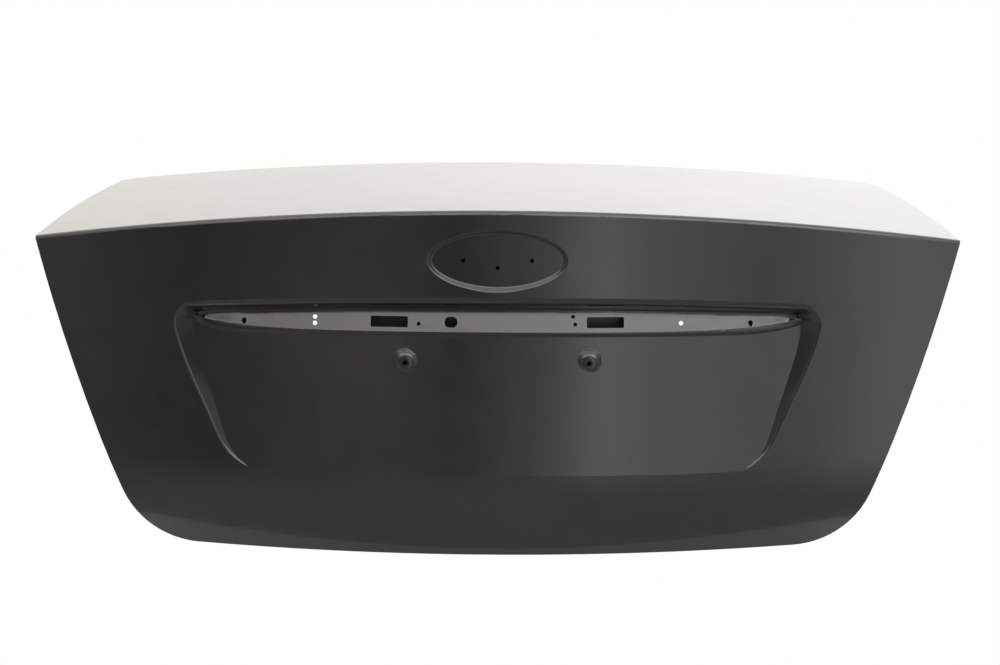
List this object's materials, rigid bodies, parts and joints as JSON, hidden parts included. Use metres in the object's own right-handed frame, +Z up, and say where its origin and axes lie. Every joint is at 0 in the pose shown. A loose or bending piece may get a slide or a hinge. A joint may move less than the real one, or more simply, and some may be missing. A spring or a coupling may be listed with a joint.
{
  "type": "car trunk lid",
  "caption": "Bare car trunk lid: a curved hemmed skin with plate pocket, strip windows and badge recess over a pressed inner panel with hinge and latch seats.",
  "frame": {"origin": "middle of the four hinge bolt holes, on the face the hinge arms seat on", "axes": "+X across the car to the right seen from behind, +Y towards the front of the car, +Z up"},
  "size_m": [1.069, 0.5337, 0.4104],
  "materials": {
    "outer_coat": "semi-gloss dark primer",
    "inner_coat": "satin dark primer",
    "plate_coat": "satin dark primer",
    "nut_steel": "dark coated steel",
    "mastic": "soft mastic"
  },
  "bodies": {
    "root": {"outer_panel": "outer_coat", "inner_panel": "inner_coat", "hinge_reinforcement_left": "plate_coat", "hinge_reinforcement_right": "plate_coat", "latch_reinforcement": "plate_coat", "hinge_nut_left_front": "nut_steel", "hinge_nut_left_rear": "nut_steel", "hinge_nut_right_front": "nut_steel", "hinge_nut_right_rear": "nut_steel", "latch_nut_left": "nut_steel", "latch_nut_right": "nut_steel", "plate_nut_left": "nut_steel", "plate_nut_right": "nut_steel", "stop_nut_left": "nut_steel", "stop_nut_right": "nut_steel", "mastic_left": "mastic", "mastic_right": "mastic"}
  },
  "joints": []
}
